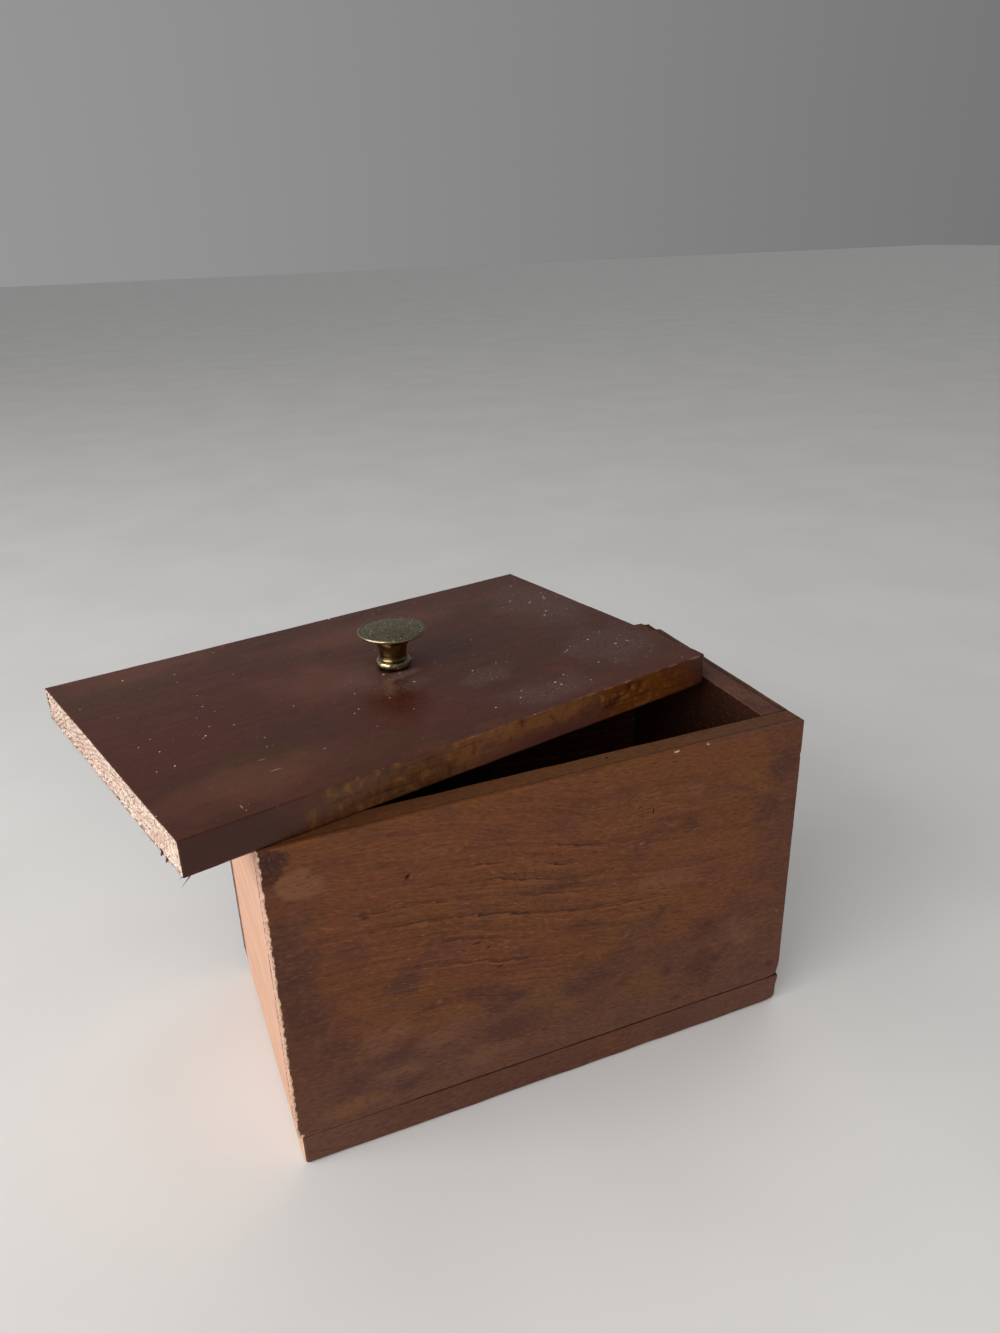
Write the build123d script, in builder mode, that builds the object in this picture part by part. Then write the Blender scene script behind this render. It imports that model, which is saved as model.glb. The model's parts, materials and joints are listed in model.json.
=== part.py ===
# Recipe box: a plain nailed wooden box whose loose lid lies askew on the rim.
# +X runs along the front from left to right, +Y to the back and +Z up.
# The origin is the middle of the box's underside. All sizes are in millimetres.
from build123d import *
import math
import os

os.makedirs("parts", exist_ok=True)

# Box, outside
box_length = 155.0
box_depth = 86.0
box_height = 101.5

# Boards of the box
panel_thickness = 7.6
side_thickness = 9.1
bottom_thickness = 10.4
bottom_left_inset = 0.8
bottom_right_overhang = 0.4
board_arris = 0.5
bottom_wear = 1.4
bottom_corner_wear = 2.6

# Lid board, which isn't cut quite square
lid_thickness = 9.9
lid_front_length = 164.0
lid_back_length = 167.0
lid_right_width = 100.0
lid_left_width = 104.5
lid_arris = 0.5
lid_corner_wear = 1.2

# Place of the lid: the knob's axis over the box, and the lid's turn
knob_x = -22.7
knob_y = 23.7
lid_turn = 13.0
knob_from_right = 78.6
knob_from_front = 52.3

# Turned knob
knob_diameter = 20.2
knob_height = 13.0
knob_dome = 0.7
rim_thickness = 1.0
rim_roll = 0.7
rim_groove = 0.15
neck_diameter = 7.5
neck_level = 4.7
bead_diameter = 10.4
bead_height = 2.3
foot_diameter = 8.8
foot_height = 0.7
flare_rise = 2.9
flare_reach = 1.8
flare_lift = 1.2

# Machine screw that holds the knob from below
screw_diameter = 4.0
screw_grip = 7.0
screw_head_diameter = 7.6
screw_head_angle = 90.0
screw_sink = 0.3
slot_width = 1.0
slot_depth = 1.0

# Nails
nail_diameter = 1.5
nail_length = 25.0
nail_point = 2.5
nail_tip_diameter = 0.2
nail_head_diameter = 2.5
nail_head_thickness = 0.8
nail_set = 0.4
corner_nail_count = 3
corner_nail_low = 26.2
corner_nail_high = 11.3
bottom_nail_count = 3
bottom_nail_end = 19.0

# Clearances
nail_clearance = 0.04
thread_clearance = 0.04
screw_clearance = 0.25
head_clearance = 0.05
hole_end_clearance = 0.8

# Worked out from the sizes above
wall_height = box_height - bottom_thickness
panel_y = (box_depth - panel_thickness) / 2
side_x = (box_length - side_thickness) / 2
side_depth = box_depth - 2 * panel_thickness
screw_radius = screw_diameter / 2
nail_radius = nail_diameter / 2
nail_hole_radius = nail_radius + nail_clearance

wall_base = Plane.XY.offset(bottom_thickness)
front_face = Plane(origin=(0, -box_depth / 2, 0), x_dir=(1, 0, 0), z_dir=(0, -1, 0))
back_face = Plane(origin=(0, box_depth / 2, 0), x_dir=(-1, 0, 0), z_dir=(0, 1, 0))
under_face = Plane(origin=(0, 0, 0), x_dir=(1, 0, 0), z_dir=(0, 0, -1))
lid_direction = (math.cos(math.radians(lid_turn)), math.sin(math.radians(lid_turn)), 0)
lid_under = Plane(origin=(knob_x, knob_y, box_height), x_dir=lid_direction, z_dir=(0, 0, 1))
lid_top = lid_under.offset(lid_thickness)


def spread(first, last, count):
    """Evenly spaced values from first to last."""
    return [first + (last - first) * i / (count - 1) for i in range(count)]


def finish_piece(piece, label):
    """Label a finished piece and write it as its own STEP file."""
    piece.part.label = label
    export_step(piece.part, f"parts/{label}.step")


# Nail places on each nailed face, in that face's own coordinates
corner_nail_heights = spread(
    bottom_thickness + corner_nail_low, box_height - corner_nail_high, corner_nail_count
)
corner_nail_places = [(x, z) for x in (-side_x, side_x) for z in corner_nail_heights]
bottom_nail_row = spread(
    -box_length / 2 + bottom_nail_end, box_length / 2 - bottom_nail_end, bottom_nail_count
)
bottom_nail_panel_places = [(x, y) for y in (-panel_y, panel_y) for x in bottom_nail_row]
bottom_nail_side_places = [(-side_x, 0), (side_x, 0)]
bottom_nail_places = bottom_nail_panel_places + bottom_nail_side_places


def drill_outer_board(face, places, thickness):
    """Nail holes through the board under a face, with the pits the set heads leave."""
    with Locations(face):
        with Locations(*places):
            CounterBoreHole(
                radius=nail_hole_radius,
                counter_bore_radius=nail_head_diameter / 2 + nail_clearance,
                counter_bore_depth=nail_set + nail_head_thickness,
                depth=thickness,
            )


def drill_inner_board(face, places):
    """Holes for the nails' shanks in the board behind the nailed one."""
    with Locations(face):
        with Locations(*places):
            Hole(radius=nail_hole_radius, depth=nail_set + nail_length + hole_end_clearance)


def drive_nails(face, places):
    """One nail at each place: head, shank and point, set just below the face."""
    shank_length = nail_length - nail_point
    downwards = (Align.CENTER, Align.CENTER, Align.MAX)
    with Locations(face.offset(-nail_set)):
        with Locations(*places):
            Cylinder(nail_head_diameter / 2, nail_head_thickness, align=downwards)
            Cylinder(nail_radius, shank_length, align=downwards)
    with Locations(face.offset(-nail_set - shank_length)):
        with Locations(*places):
            Cone(nail_tip_diameter / 2, nail_radius, nail_point, align=downwards)


# Front panel, the full length of the box
with BuildPart() as front_panel:
    with BuildSketch(wall_base):
        with Locations((0, -panel_y)):
            Rectangle(box_length, panel_thickness)
    extrude(amount=wall_height)
    front_edges = front_panel.edges().filter_by(Axis.X) + front_panel.edges().filter_by(Axis.Z)
    fillet(front_edges.group_by(Axis.Y)[0].sort_by(Axis.Z)[1:], radius=board_arris)
    drill_outer_board(front_face, corner_nail_places, panel_thickness)
    drill_inner_board(under_face, bottom_nail_panel_places)
finish_piece(front_panel, "front_panel")

# Back panel, the same board behind
with BuildPart() as back_panel:
    with BuildSketch(wall_base):
        with Locations((0, panel_y)):
            Rectangle(box_length, panel_thickness)
    extrude(amount=wall_height)
    back_edges = back_panel.edges().filter_by(Axis.X) + back_panel.edges().filter_by(Axis.Z)
    fillet(back_edges.group_by(Axis.Y)[-1].sort_by(Axis.Z)[1:], radius=board_arris)
    drill_outer_board(back_face, corner_nail_places, panel_thickness)
    drill_inner_board(under_face, bottom_nail_panel_places)
finish_piece(back_panel, "back_panel")

# Side panels, butted between the front and back panels
for side_name, x in (("left_side", -side_x), ("right_side", side_x)):
    with BuildPart() as side_panel:
        with BuildSketch(wall_base):
            with Locations((x, 0)):
                Rectangle(side_thickness, side_depth)
        extrude(amount=wall_height)
        rim_edges = side_panel.faces().sort_by(Axis.Z)[-1].edges().filter_by(Axis.Y)
        fillet(rim_edges, radius=board_arris)
        drill_inner_board(front_face, corner_nail_places)
        drill_inner_board(back_face, corner_nail_places)
        drill_inner_board(under_face, bottom_nail_side_places)
    finish_piece(side_panel, side_name)

# Bottom board, nailed on from below, with worn edges
with BuildPart() as bottom_board:
    with BuildSketch(Plane.XY):
        with Locations(((bottom_left_inset + bottom_right_overhang) / 2, 0)):
            Rectangle(box_length - bottom_left_inset + bottom_right_overhang, box_depth)
    extrude(amount=bottom_thickness)
    fillet(bottom_board.edges().filter_by(Axis.Z), radius=bottom_corner_wear)
    fillet(bottom_board.faces().sort_by(Axis.Z)[0].edges(), radius=bottom_wear)
    drill_outer_board(under_face, bottom_nail_places, bottom_thickness)
finish_piece(bottom_board, "bottom_board")

# Nails through the front and back panels into the sides' ends, and up through the bottom
for nails_name, face, places in (
    ("front_nails", front_face, corner_nail_places),
    ("back_nails", back_face, corner_nail_places),
    ("bottom_nails", under_face, bottom_nail_places),
):
    with BuildPart() as nails:
        drive_nails(face, places)
    finish_piece(nails, nails_name)

# Lid board, loose on the rim, with the screw's hole sunk from below
lid_right = knob_from_right
lid_front = -knob_from_front
with BuildPart() as lid_board:
    with BuildSketch(lid_under):
        with BuildLine():
            Polyline(
                (lid_right, lid_front),
                (lid_right, lid_front + lid_right_width),
                (lid_right - lid_back_length, lid_front + lid_left_width),
                (lid_right - lid_front_length, lid_front),
                close=True,
            )
        make_face()
    extrude(amount=lid_thickness)
    lid_corners = lid_board.edges().filter_by(Axis.Z).sort_by(Axis.X)
    fillet(lid_corners[2:], radius=lid_corner_wear)
    left_end = lid_board.faces().sort_by(Axis.X)[0]
    flat_rims = lid_board.faces().filter_by(Axis.Z).edges()
    fillet([edge for edge in flat_rims if edge not in left_end.edges()], radius=lid_arris)
    with Locations(Plane(origin=lid_under.origin, x_dir=lid_direction, z_dir=(0, 0, -1))):
        CounterSinkHole(
            radius=screw_radius + screw_clearance,
            counter_sink_radius=screw_head_diameter / 2 + screw_sink + head_clearance,
            depth=lid_thickness,
            counter_sink_angle=screw_head_angle,
        )
finish_piece(lid_board, "lid_board")

# Turned knob: foot, bead, waisted neck that flares out under a thin domed disc
knob_radius = knob_diameter / 2
neck_radius = neck_diameter / 2
bead_radius = bead_diameter / 2
foot_radius = foot_diameter / 2
bead_top = foot_height + bead_height
rim_top = knob_height - knob_dome
rim_bottom = rim_top - rim_thickness
rim_middle = rim_top - rim_thickness / 2
flare_radius = knob_radius - rim_thickness
crest_radius = knob_radius - rim_roll
neck_plane = Plane(origin=lid_top.origin, x_dir=(1, 0, 0), z_dir=(0, -1, 0))
with BuildPart() as knob:
    with BuildSketch(neck_plane):
        with BuildLine():
            Polyline((0, knob_height), (0, 0), (foot_radius, 0), (foot_radius, foot_height))
            ThreePointArc(
                (foot_radius, foot_height),
                (bead_radius, foot_height + bead_height / 2),
                (foot_radius, bead_top),
            )
            TangentArc((neck_radius, neck_level), (foot_radius, bead_top), tangent=(0, -1))
            Bezier(
                (neck_radius, neck_level),
                (neck_radius, neck_level + flare_rise),
                (neck_radius + flare_reach, rim_bottom - flare_lift),
                (flare_radius, rim_bottom),
            )
            ThreePointArc(
                (flare_radius, rim_bottom),
                (knob_radius, rim_middle),
                (crest_radius, rim_top),
            )
            Polyline(
                (crest_radius, rim_top),
                (crest_radius - rim_groove, rim_top - rim_groove),
            )
            TangentArc(
                (0, knob_height),
                (crest_radius - rim_groove, rim_top - rim_groove),
                tangent=(1, 0),
            )
        make_face()
    revolve(axis=Axis(origin=lid_top.origin, direction=(0, 0, 1)))
    with Locations(Plane(origin=lid_top.origin, x_dir=(1, 0, 0), z_dir=(0, 0, -1))):
        Hole(radius=screw_radius + thread_clearance, depth=screw_grip + hole_end_clearance)
finish_piece(knob, "knob")

# Countersunk screw from the lid's underside up into the knob
screw_head_radius = screw_head_diameter / 2
head_cone_height = (screw_head_radius - screw_radius) / math.tan(math.radians(screw_head_angle / 2))
screw_length = lid_thickness - screw_sink + screw_grip
screw_axis_plane = Plane(origin=lid_under.offset(screw_sink).origin, x_dir=(1, 0, 0), z_dir=(0, -1, 0))
with BuildPart() as knob_screw:
    with BuildSketch(screw_axis_plane):
        with BuildLine():
            Polyline(
                (0, 0),
                (screw_head_radius, 0),
                (screw_radius, head_cone_height),
                (screw_radius, screw_length - thread_clearance),
                (0, screw_length - thread_clearance),
                close=True,
            )
        make_face()
    revolve(axis=Axis(origin=lid_under.origin, direction=(0, 0, 1)))
    with BuildSketch(lid_under.offset(screw_sink)):
        Rectangle(screw_head_diameter, slot_width)
    extrude(amount=slot_depth, mode=Mode.SUBTRACT)
finish_piece(knob_screw, "knob_screw")
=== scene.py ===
import itertools
import json
import math
import bpy
import numpy as np
from mathutils import Matrix, Vector


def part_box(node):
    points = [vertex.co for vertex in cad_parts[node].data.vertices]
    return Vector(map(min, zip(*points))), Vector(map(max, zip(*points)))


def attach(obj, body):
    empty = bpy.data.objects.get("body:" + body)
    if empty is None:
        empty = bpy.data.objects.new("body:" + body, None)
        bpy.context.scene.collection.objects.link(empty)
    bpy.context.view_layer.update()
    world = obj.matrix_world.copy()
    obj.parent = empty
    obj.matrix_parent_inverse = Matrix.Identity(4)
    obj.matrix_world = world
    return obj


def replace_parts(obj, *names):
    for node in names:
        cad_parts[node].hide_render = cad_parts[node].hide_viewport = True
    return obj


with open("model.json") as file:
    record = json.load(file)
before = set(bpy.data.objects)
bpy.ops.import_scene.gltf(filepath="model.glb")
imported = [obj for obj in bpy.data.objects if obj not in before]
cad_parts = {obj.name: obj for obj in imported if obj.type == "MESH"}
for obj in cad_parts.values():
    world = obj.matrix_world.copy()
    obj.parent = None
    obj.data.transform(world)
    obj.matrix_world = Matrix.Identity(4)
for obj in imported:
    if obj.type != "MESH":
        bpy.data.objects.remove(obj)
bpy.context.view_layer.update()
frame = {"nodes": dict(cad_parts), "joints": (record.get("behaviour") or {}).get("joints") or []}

# Lengths are in millimetres, in the frame's axes, unless a name says otherwise
MM = 0.001
X, Y, Z = range(3)

# A board's sides: the low and the high end of each axis
LEFT, RIGHT, FRONT, BACK, UNDER, TOP = range(6)

# The lid board's own frame: its origin is on the knob's axis, level with the lid's top
LID_TURN_DEGREES = 13.0
LID_RIGHT = 78.6
LID_FRONT = -52.3
LID_FRONT_LENGTH = 164.0
LID_BACK_LENGTH = 167.0
LID_RIGHT_WIDTH = 100.0
LID_LEFT_WIDTH = 104.5
LID_THICKNESS = 9.9
lid_origin = Vector(next(j for j in frame["joints"] if j["name"] == "lid_turn")["pos_m"]) / MM

# Camera, where the photograph was taken from
CAMERA_PLACE = (-97.06, -244.78, 232.49)
CAMERA_HEADING_DEGREES = 22.057
CAMERA_PITCH_DEGREES = -23.831
CAMERA_ROLL_DEGREES = -1.762
CAMERA_LENS = 27.05
CAMERA_SENSOR = 36.0
CAMERA_CLIP_M = (0.01, 20)


# Grids and noise

NOISE_CELLS = 32
NOISE_START = 7.37
SIDE_FADE = 0.5
PIT_RIM_REACH = 0.16
ON_SIDE = 1e-6
BLOT_LUMP = 4.5
DEEP_INSIDE = 9.0
ACROSS_SPLINTERS = (0.36, 0.48, 0.8)


def noise(points, lump, seed):
    """Smooth noise from -1 to 1 at each point, with lumps that long, on all axes or on each."""
    table = np.random.default_rng(seed).uniform(-1, 1, (NOISE_CELLS,) * 3)
    place = points / np.asarray(lump, float) + NOISE_START
    cell = np.floor(place).astype(int)
    part = place - cell
    part = part * part * (3 - 2 * part)
    total = np.zeros(len(points))
    for corner in itertools.product((0, 1), repeat=3):
        weight = np.where(corner, part, 1 - part).prod(axis=1)
        total += weight * table[tuple(((cell + corner) % NOISE_CELLS).T)]
    return total


def smooth(value):
    """An even rise from 0 to 1 while the value goes from 0 to 1."""
    value = np.clip(value, 0, 1)
    return value * value * (3 - 2 * value)


def grid_lines(low, high, widest, fine):
    """Line places from low to high, closer together around each (place, reach, spacing) in fine."""
    places = [low]
    while places[-1] < high:
        here = places[-1]
        wanted = [max(step, (abs(here - place) - reach) / 3) for place, reach, step in fine]
        places.append(here + min([widest, *wanted]))
    places = np.array(places)
    return low + (places - low) * (high - low) / (places[-1] - low)


class Block:
    """The skin of a board: a fine grid of points that can be rounded, worn and cut."""

    def __init__(self, low, high, widest, fine=((), (), ()), arris=(0.8, 0.15)):
        """The arris is how far from its edges the grid stays fine, and its spacing there."""
        self.low, self.high = np.array(low, float), np.array(high, float)
        lines = []
        for axis in (X, Y, Z):
            low, high = self.low[axis], self.high[axis]
            closer = [(low, *arris), (high, *arris), *fine[axis]]
            lines.append(grid_lines(low, high, widest[axis], closer))
        count = np.array([len(line) for line in lines])
        index = np.stack(np.meshgrid(*map(np.arange, count), indexing="ij"), -1)
        outside = ((index == 0) | (index == count - 1)).any(-1)
        number = np.cumsum(outside).reshape(outside.shape) - 1
        skin = index[outside]
        self.rest = np.stack([lines[axis][skin[:, axis]] for axis in (X, Y, Z)], -1)
        self.x, self.y, self.z = self.rest.T
        self.points = self.rest.copy()
        self.quads, self.sides = self.faces(number)
        gaps = np.sort(np.minimum(self.rest - self.low, self.high - self.rest), axis=1)
        self.edge = gaps[:, 1]
        self.marks = {}
        self.splinters = []

    def faces(self, number):
        """The grid's quads, facing outwards, and the side that each is on."""
        quads, sides = [], []
        for side in range(6):
            axis, end = side // 2, -(side % 2)
            face = np.take(number, end, axis)
            ring = [face[:-1, :-1], face[1:, :-1], face[1:, 1:], face[:-1, 1:]]
            if (side % 2 == 0) != (axis == Y):
                ring.reverse()
            quads.append(np.stack([corner.ravel() for corner in ring], -1))
            sides.append(np.full(len(quads[-1]), side))
        return np.concatenate(quads), np.concatenate(sides)

    def noise(self, lump, seed):
        """Smooth noise at each of its points."""
        return noise(self.rest, lump, seed)

    def from_side(self, side):
        """How far each point is from one side."""
        axis, edge = side // 2, (self.low, self.high)[side % 2][side // 2]
        return np.abs(self.rest[:, axis] - edge)

    def on(self, side):
        """How much each point belongs to one side: 1 on it, fading to 0 just inside it."""
        return np.clip(1 - self.from_side(side) / SIDE_FADE, 0, 1)

    def round_edges(self, radius):
        """Rounds the edges and corners. The radius is one number, or one for each point."""
        radius = np.broadcast_to(np.asarray(radius, float), len(self.rest))[:, None]
        inner = np.clip(self.rest, self.low + radius, self.high - radius)
        self.normals = (self.rest - inner) / np.linalg.norm(self.rest - inner, axis=1, keepdims=True)
        self.points = inner + self.normals * radius

    def sink(self, depth):
        """Moves the skin inwards by that depth."""
        self.points -= self.normals * np.broadcast_to(depth, len(self.rest))[:, None]

    def dent(self, place, reach, depth, uneven=0.25):
        """Sinks a bowl of that depth around a place. The reach is the bowl's half size on each axis."""
        reach = np.asarray(reach, float)
        far = np.linalg.norm((self.rest - np.asarray(place, float)) / reach, axis=1)
        far *= 1 + uneven * self.noise(reach * 0.7, 1)
        self.sink(depth * np.sqrt(np.clip(1 - far * far, 0, 1)))

    def pit(self, side, centre, radii, depths):
        """Sinks a round hole into one side, that deep at each radius. The last radius is its rim."""
        axis, inwards, rim = side // 2, (1, -1)[side % 2], radii[-1]
        across = [other for other in (X, Y, Z) if other != axis]
        shift = self.rest[:, across] - centre
        far = np.linalg.norm(shift, axis=1)
        on_side = self.from_side(side) < ON_SIDE
        near_rim = on_side & (np.abs(far - rim) < PIT_RIM_REACH)
        self.points[np.ix_(near_rim, across)] = centre + shift[near_rim] * (rim / far[near_rim])[:, None]
        inside = on_side & (far < rim - PIT_RIM_REACH)
        self.points[inside, axis] += inwards * np.interp(far[inside], radii, depths)

    def paint(self, blots, up=Z, within=1.0):
        """Marks how much each point is covered, 0 to 1, by a table's blots, on x and that axis."""
        for mark, (ragged, crisp, seed, spots) in blots.items():
            cover = np.zeros(len(self.rest))
            a = self.x + ragged * self.noise(BLOT_LUMP, seed)
            b = self.rest[:, up] + ragged * 0.6 * self.noise(BLOT_LUMP, seed + 1)
            for middle_a, middle_b, wide, high in spots:
                far = np.hypot((a - middle_a) / wide, (b - middle_b) / high)
                cover = np.maximum(cover, smooth((1 - far) * crisp + 0.5))
            self.marks[mark] = cover * within

    def splinter(self, line, width, finish):
        """Adds a three-sided spike that narrows along a line of places to its tip."""
        line = np.array(line, float)
        onward = (line[-1] - line[0]) / np.linalg.norm(line[-1] - line[0])
        side = np.cross(onward, ACROSS_SPLINTERS)
        side /= np.linalg.norm(side)
        other = np.cross(onward, side)
        rings = []
        for step, place in enumerate(line[:-1]):
            radius = width / 2 * (1 - step / (len(line) - 1))
            for angle in (0.0, 2 * math.pi / 3, 4 * math.pi / 3):
                rings.append(place + radius * (side * math.cos(angle) + other * math.sin(angle)))
        last = len(rings) - 3
        faces = [(2, 1, 0)]
        for ring in range(0, last, 3):
            faces += [(ring + k, ring + (k + 1) % 3, ring + 3 + (k + 1) % 3, ring + 3 + k) for k in range(3)]
        faces += [(last + k, last + (k + 1) % 3, len(rings)) for k in range(3)]
        self.splinters.append((np.array([*rings, line[-1]]), faces, finish))

    def carry(self, origin, turn_degrees):
        """Turns all of it about the vertical, and moves it to an origin."""
        turn = np.array(Matrix.Rotation(math.radians(turn_degrees), 3, "Z")).T
        self.points = self.points @ turn + origin
        self.splinters = [(spike @ turn + origin, faces, finish) for spike, faces, finish in self.splinters]

    def build(self, name, finishes, finish_of_side):
        """A smooth mesh object in metres, with a material for each side and the marks as attributes."""
        points, faces = [self.points], self.quads.tolist()
        materials = np.array(finish_of_side)[self.sides].tolist()
        start = len(self.points)
        for spike, spike_faces, finish in self.splinters:
            faces += [[start + corner for corner in face] for face in spike_faces]
            materials += [finish] * len(spike_faces)
            points.append(spike)
            start += len(spike)
        piece = mesh_piece(name, np.concatenate(points), faces, finishes, materials)
        unmarked = np.zeros(start - len(self.points))
        write_marks(piece, {mark: np.append(values, unmarked) for mark, values in self.marks.items()})
        write_marks(piece, {"inside": np.append(self.edge, unmarked + DEEP_INSIDE)})
        return piece


def mesh_piece(name, points, faces, finishes, materials=None):
    """A smooth mesh object from points in millimetres."""
    mesh = bpy.data.meshes.new(name)
    mesh.from_pydata((points * MM).tolist(), [], faces)
    for finish in finishes:
        mesh.materials.append(finish)
    if materials is not None:
        mesh.polygons.foreach_set("material_index", np.array(materials, np.int32))
    mesh.polygons.foreach_set("use_smooth", np.ones(len(faces), bool))
    mesh.update()
    return linked(bpy.data.objects.new(name, mesh))


def write_marks(piece, marks):
    """Stores a value for each point under each mark's name, for the materials to read."""
    for mark, values in marks.items():
        attribute = piece.data.attributes.new(mark, "FLOAT", "POINT")
        attribute.data.foreach_set("value", values.astype(np.float32))


def linked(made):
    """An object, once it is in the scene."""
    bpy.context.scene.collection.objects.link(made)
    return made


def node_box(node):
    """A CAD node's lowest and highest corners, in millimetres."""
    low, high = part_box(node)
    return np.array(low) / MM, np.array(high) / MM


# Materials


def tone(red, green, blue):
    """A screen colour, 0 to 255, as the shader's linear colour."""
    parts = [value / 255 for value in (red, green, blue)]
    linear = [part / 12.92 if part <= 0.04045 else ((part + 0.055) / 1.055) ** 2.4 for part in parts]
    return (*linear, 1.0)


class Finish:
    """One node material, built layer by layer, in millimetres from its own origin and turn."""

    def __init__(self, name, colour, origin=(0, 0, 0), turn_degrees=0.0):
        self.material = bpy.data.materials.new(name)
        self.material.use_nodes = True
        self.tree = self.material.node_tree
        self.shader = self.tree.nodes["Principled BSDF"]
        where = self.scaled(self.node("ShaderNodeTexCoord").outputs["Object"], 1 / MM)
        turn = (0, 0, math.radians(turn_degrees))
        self.place = self.node("ShaderNodeMapping", where, origin, turn, vector_type="TEXTURE").outputs[0]
        self.colour = tone(*colour)
        self.height = 0.0

    def node(self, kind, *values, **settings):
        """A new node with those settings, and with the values put into its inputs in turn."""
        made = self.tree.nodes.new(kind)
        for key, value in settings.items():
            setattr(made, key, value)
        for socket, value in zip(made.inputs, values):
            if value is not None:
                self.put(socket, value)
        return made

    def put(self, socket, value):
        """Joins a socket to another one's output, or sets its own value."""
        if isinstance(value, bpy.types.NodeSocket):
            self.tree.links.new(value, socket)
        else:
            socket.default_value = value

    def vector(self, operation, *values):
        made = self.node("ShaderNodeVectorMath", *values, operation=operation)
        return made.outputs["Value" if operation == "LENGTH" else "Vector"]

    def scaled(self, place, scale):
        return self.vector("SCALE", place, None, None, scale)

    def math(self, operation, first, second=0.0):
        return self.node("ShaderNodeMath", first, second, operation=operation).outputs[0]

    def plus(self, first, second):
        return self.math("ADD", first, second)

    def times(self, first, second):
        return self.math("MULTIPLY", first, second)

    def span(self, value, low, high, to_low=0.0, to_high=1.0):
        """A value carried smoothly from low..high to to_low..to_high, and held there beyond."""
        values = (value, low, high, to_low, to_high)
        return self.node("ShaderNodeMapRange", *values, interpolation_type="SMOOTHSTEP").outputs[0]

    def lay(self, share, colour):
        """Lays a colour over what is there, as thickly as its share, from 0 to 1."""
        made = self.node("ShaderNodeMix", share, data_type="RGBA")
        self.put(made.inputs[6], self.colour)
        self.put(made.inputs[7], tone(*colour))
        self.colour = made.outputs[2]

    def tint(self, field, start, full, share, colour, within=None):
        """Lays a colour that thickens while a field goes from start to full, up to its share."""
        cover = self.span(field, start, full, 0.0, share)
        self.lay(cover if within is None else self.times(cover, within), colour)

    def lay_marks(self, layers):
        """Lays the colour of each mark of the mesh, as thickly as its share."""
        for name, share, colour in layers:
            self.lay(self.mark(name, share), colour)

    def lift(self, value, millimetres):
        """Adds a value, times that height, to the fine relief."""
        self.height = self.plus(self.height, self.times(value, millimetres))

    def grain(self, lump, detail, offset, place=None):
        """Noise from 0 to 1, with lumps that long, on all axes or on each."""
        shift = (offset, offset * 1.7, offset * 2.3)
        moved = self.vector("MULTIPLY_ADD", place or self.place, inverse(lump), shift)
        return self.texture(moved, detail)["Fac"]

    def texture(self, place, detail=2):
        return self.node("ShaderNodeTexNoise", place, None, 1.0, detail).outputs

    def warped(self, lump, amount):
        """The place, shifted by up to about half that amount on each axis."""
        colours = self.texture(self.vector("MULTIPLY", self.place, inverse(lump)))["Color"]
        centred = self.vector("SUBTRACT", colours, (0.5, 0.5, 0.5))
        return self.vector("MULTIPLY_ADD", centred, amount, self.place)

    def cells(self, size, feature="F1"):
        """A field of uneven cells about that large."""
        place = self.scaled(self.place, 1 / size)
        return self.node("ShaderNodeTexVoronoi", place, None, 1.0, feature=feature).outputs

    def near(self, spots):
        """How far each point is from the nearest (centre, half size) spot, where 1 is on its rim."""
        nearest = None
        for centre, size in spots:
            shift = tuple(-middle / part for middle, part in zip(centre, size))
            far = self.vector("LENGTH", self.vector("MULTIPLY_ADD", self.place, inverse(size), shift))
            nearest = far if nearest is None else self.math("MINIMUM", nearest, far)
        return nearest

    def mark(self, name, share=1.0):
        """What the mesh says of each point under that name, times a share."""
        return self.times(self.node("ShaderNodeAttribute", attribute_name=name).outputs["Fac"], share)

    def worn_edge(self, lump, offset, most):
        """How far inside the nearest edge each point is, give or take some noise."""
        uneven = self.span(self.grain(lump, 3, offset), 0.3, 0.7, -0.3, most)
        return self.plus(self.mark("inside"), uneven)

    def finish(self, roughness, **plain):
        """Joins the colour, relief and roughness to the shader, and sets its plain values."""
        bump = self.node("ShaderNodeBump")
        bump.inputs["Distance"].default_value = MM
        self.put(bump.inputs["Height"], self.height)
        self.put(self.shader.inputs["Normal"], bump.outputs["Normal"])
        self.put(self.shader.inputs["Base Color"], self.colour)
        self.put(self.shader.inputs["Roughness"], roughness)
        for key, value in plain.items():
            self.shader.inputs[key.replace("_", " ")].default_value = value
        return self.material


def inverse(lump):
    """One over the lump's length on each axis."""
    return tuple(1 / size for size in (lump if isinstance(lump, tuple) else (lump,) * 3))


def along(axis, length, across):
    """Lump sizes for something long on the grain's axis and narrow across it."""
    sizes = [across, across, across]
    sizes[axis] = length
    return tuple(sizes)


RED_BROWN = (102, 58, 35)
GOLD_BROWN = (102, 61, 31)
PURPLE_BROWN = (82, 48, 38)
DARK_BROWN = (66, 36, 22)
LIGHT_BROWN = (130, 79, 50)
PORE_BROWN = (36, 20, 14)
RAW_CREAM = (214, 180, 146)

# What a mesh may mark on its skin: the mark, how thick it lies and its colour
STAIN_MARKS = [
    ("dusky", 0.6, (82, 50, 40)),
    ("dull", 0.7, (92, 63, 54)),
    ("gold", 0.55, (106, 68, 34)),
    ("purple", 0.58, (68, 41, 34)),
    ("dark", 0.45, (56, 31, 21)),
    ("soft", 0.5, (114, 76, 54)),
    ("pale", 0.6, (124, 82, 54)),
    ("crackle", 0.85, (66, 37, 31)),
    ("rim", 0.8, (86, 54, 29)),
    ("scribe", 0.75, (34, 19, 12)),
    # painted shade: the inside faces of the box darkened
    ("inner", 0.92, (38, 19, 14)),
]
# The first mark is painted shade, a dark line where a joint stands open; the second is bare wood showing
# through
WEAR_AND_JOINT_SHADE_MARKS = [("seam", 0.65, PORE_BROWN), ("raw", 0.9, RAW_CREAM)]
LID_BAND_MARKS = [
    ("olive", 0.45, (68, 43, 17)),
    ("purple", 0.4, (58, 29, 23)),
    ("warm", 0.55, (100, 58, 42)),
]
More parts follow.
